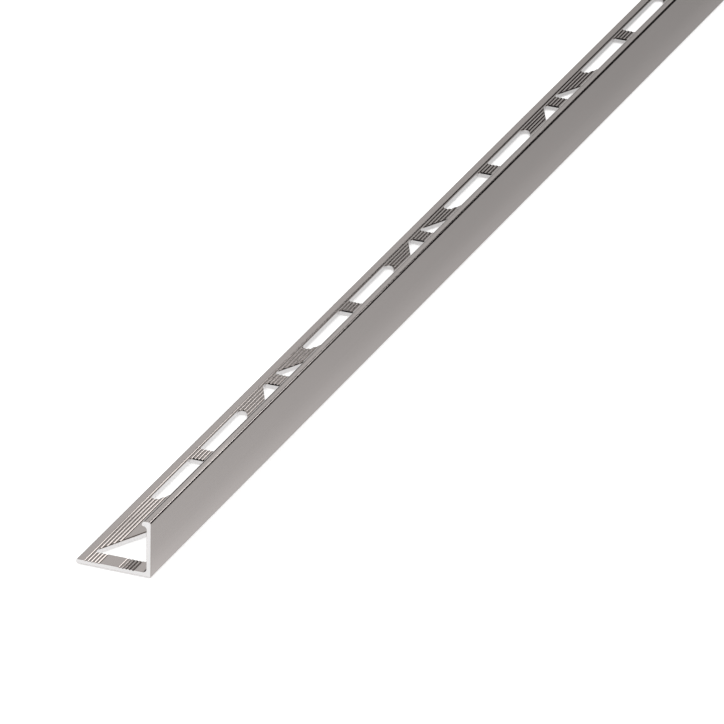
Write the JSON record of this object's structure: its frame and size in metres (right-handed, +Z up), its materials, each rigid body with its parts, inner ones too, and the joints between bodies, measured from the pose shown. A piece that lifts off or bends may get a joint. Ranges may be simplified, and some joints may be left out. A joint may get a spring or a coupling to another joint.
{
  "type": "square edge tile trim",
  "caption": "Aluminium L profile that finishes a tile edge, with a short inturned lip over the tile and a grooved, punched leg bedded in adhesive.",
  "frame": {"origin": "middle of the bounding box, on the underside of the leg", "axes": "+Y along the length, away from the end seen in the picture; +X towards the exposed outer face of the wall, with the leg towards -X; +Z up the wall"},
  "size_m": [0.0164, 1, 0.0125],
  "materials": {
    "anodised_aluminium": "satin anodised, warm grey"
  },
  "bodies": {
    "root": {"tile_trim": "anodised_aluminium"}
  },
  "joints": []
}
